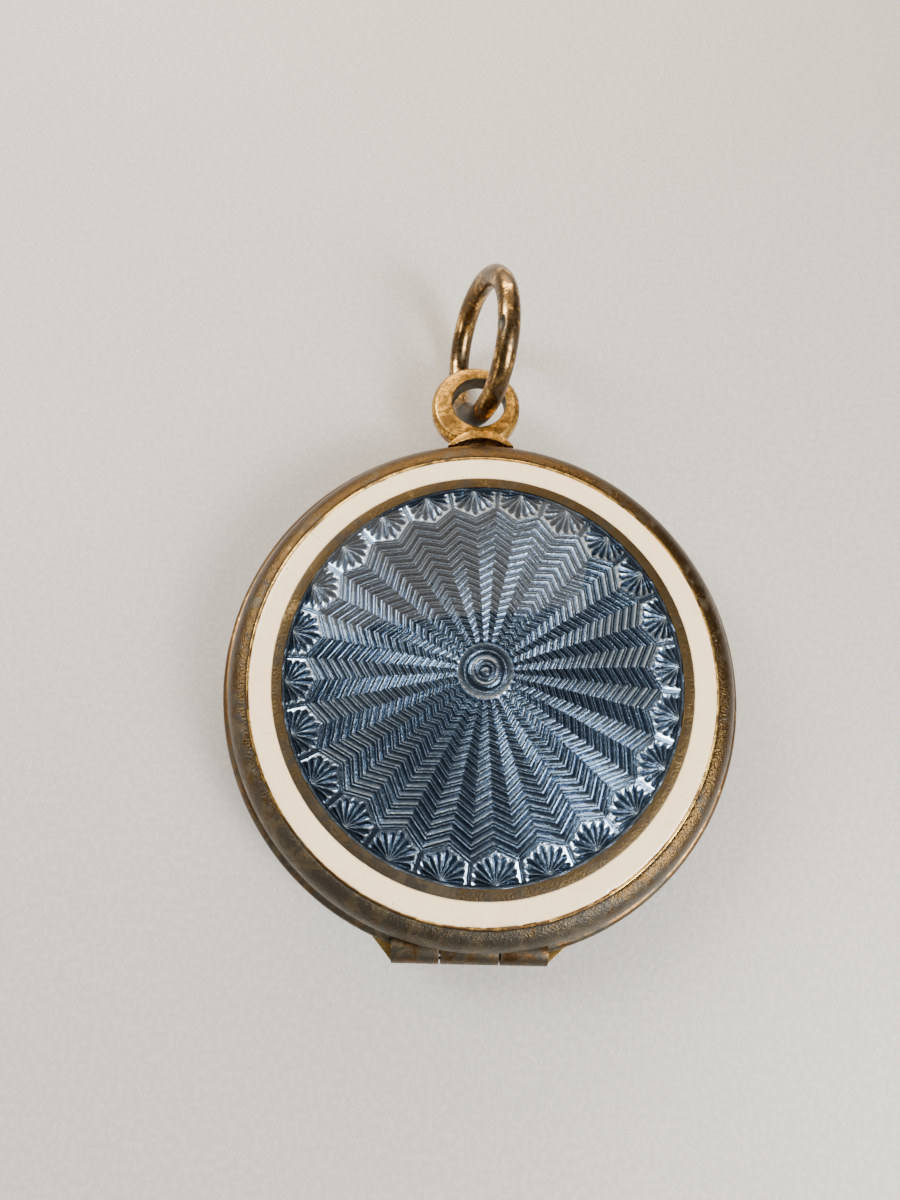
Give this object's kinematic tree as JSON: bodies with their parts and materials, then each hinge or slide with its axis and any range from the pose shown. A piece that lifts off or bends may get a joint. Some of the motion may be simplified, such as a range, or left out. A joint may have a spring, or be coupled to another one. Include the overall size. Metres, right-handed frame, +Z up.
{
  "type": "pill box",
  "caption": "Round flat pendant pill box with a hinged enamelled lid, engine-turned dome, white enamel border, gilt case, bail eye and chain link.",
  "frame": {"origin": "centre of the flat underside", "axes": "+Z up through the lid, hinge at -Y, bail and link at +Y, +X to the right seen from above"},
  "size_m": [0.0298, 0.0417, 0.0097],
  "materials": {
    "gilt_case": "worn and tarnished gilding",
    "gilt_floor": "scratched satin gilding",
    "gilt_inside": "bright gilding",
    "gilt_hinge": "tarnished gilding",
    "steel_pin": "filed flush",
    "gilt_bail": "polished gilding, worn at the edges",
    "gilt_link": "polished gilding with dark tarnish",
    "gilt_fence": "fine-grained gilding",
    "engine_turned_silver": "engine-turned, bright cut",
    "white_enamel": "opaque gloss enamel",
    "blue_enamel": "translucent gloss enamel"
  },
  "bodies": {
    "base": {"base_floor": "gilt_floor", "base_band": "gilt_case", "snap_collar": "gilt_inside", "hinge_bed": "gilt_case", "knuckle_left": "gilt_hinge", "knuckle_right": "gilt_hinge", "hinge_pin": "steel_pin", "bail_saddle": "gilt_bail", "bail_eye": "gilt_bail"},
    "lid": {"lid_rim": "gilt_case", "knuckle_middle": "gilt_hinge", "lid_lining": "gilt_inside", "engine_turned_plate": "engine_turned_silver", "outer_fence": "gilt_fence", "white_enamel": "white_enamel", "inner_fence": "gilt_fence", "blue_enamel": "blue_enamel"},
    "link": {"link": "gilt_link"}
  },
  "joints": [
    {"name": "lid_hinge", "type": "hinge", "parent": "base", "child": "lid", "pos_m": [-0.00045, -0.01436, 0.00385], "axis": [1, 0, 0], "range_deg": [0, 105]},
    {"name": "link_tilt", "type": "hinge", "parent": "base", "child": "link", "pos_m": [-0.0005, 0.01802, 0.00345], "axis": [0, 1, 0], "range_deg": [-36, 0]}
  ]
}
